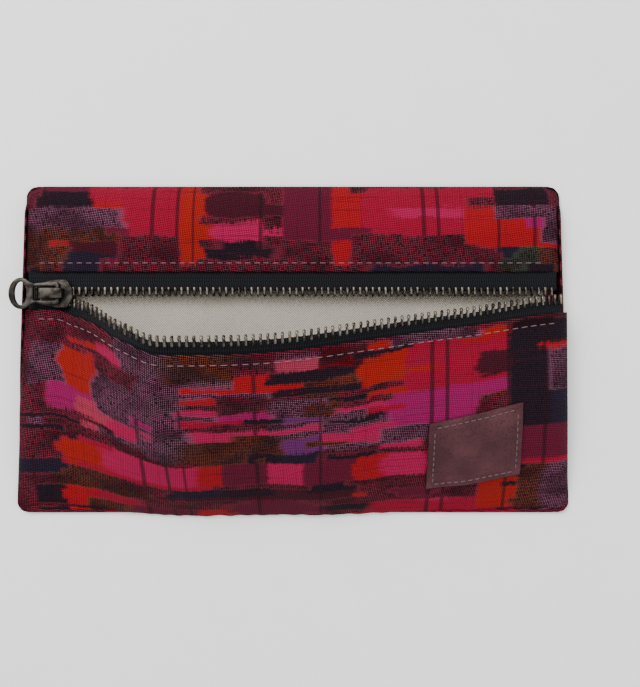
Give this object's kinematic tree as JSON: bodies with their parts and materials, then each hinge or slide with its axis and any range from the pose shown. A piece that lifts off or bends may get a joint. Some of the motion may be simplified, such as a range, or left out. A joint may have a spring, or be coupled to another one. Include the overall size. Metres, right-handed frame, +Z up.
{
  "type": "zipped travel pouch",
  "caption": "Flat zipped fabric pouch for cables and chargers, lying open, with a metal zipper, a ring pull and a sewn leather label.",
  "frame": {"origin": "centre of the resting back face", "axes": "+X along the zipper towards its closed end, +Y from the bottom seam to the top fold, +Z up from the resting face"},
  "size_m": [0.2238, 0.1324, 0.05],
  "materials": {
    "woven_fabric": "matte woven cotton with red, magenta and black stripes",
    "canvas_lining": "plain cotton canvas",
    "zipper_tape": "black herringbone tape",
    "zipper_metal": "worn antique finish",
    "slider_metal": "antique gunmetal",
    "label_leather": "dark brown, matte",
    "thread": "pale pink sewing thread",
    "label_thread": "mauve sewing thread"
  },
  "bodies": {
    "pouch": {"back_panel": "woven_fabric", "back_lining": "canvas_lining", "left_side_seam": "woven_fabric", "right_side_seam": "woven_fabric", "bottom_seam": "woven_fabric", "upper_panel": "woven_fabric", "upper_lining": "canvas_lining", "rear_zip_teeth": "zipper_metal", "rear_zip_cord": "zipper_tape", "rear_zip_tape": "zipper_tape", "bottom_stop": "zipper_metal", "rear_top_stop": "zipper_metal", "upper_topstitch": "thread"},
    "front_flap": {"front_panel": "woven_fabric", "front_lining": "canvas_lining", "front_zip_teeth": "zipper_metal", "front_zip_cord": "zipper_tape", "front_zip_tape": "zipper_tape", "front_top_stop": "zipper_metal", "front_topstitch": "thread", "leather_label": "label_leather", "label_stitching": "label_thread"},
    "slider": {"slider_body": "slider_metal", "slider_bridge": "slider_metal"},
    "pull": {"pull_tab": "slider_metal"}
  },
  "joints": [
    {"name": "slider_slide", "type": "slide", "parent": "pouch", "child": "slider", "axis": [1, 0, 0], "range_m": [0, 0.19]},
    {"name": "mouth_fold", "type": "hinge", "parent": "pouch", "child": "front_flap", "pos_m": [0, -0.065, -0.006], "axis": [1, 0, 0], "range_deg": [-30.1, 0], "deforming": ["front_panel", "front_lining", "front_zip_teeth", "front_zip_cord", "front_zip_tape", "front_top_stop", "front_topstitch", "leather_label", "label_stitching"]},
    {"name": "pull_swing", "type": "hinge", "parent": "slider", "child": "pull", "pos_m": [-0.09245, 0.0222, 0.01085], "axis": [0, 1, 0], "range_deg": [0, 135]}
  ],
  "couplings": [
    {"joint": "mouth_fold", "follows": "slider_slide", "rad_per_m": -2.7555}
  ]
}
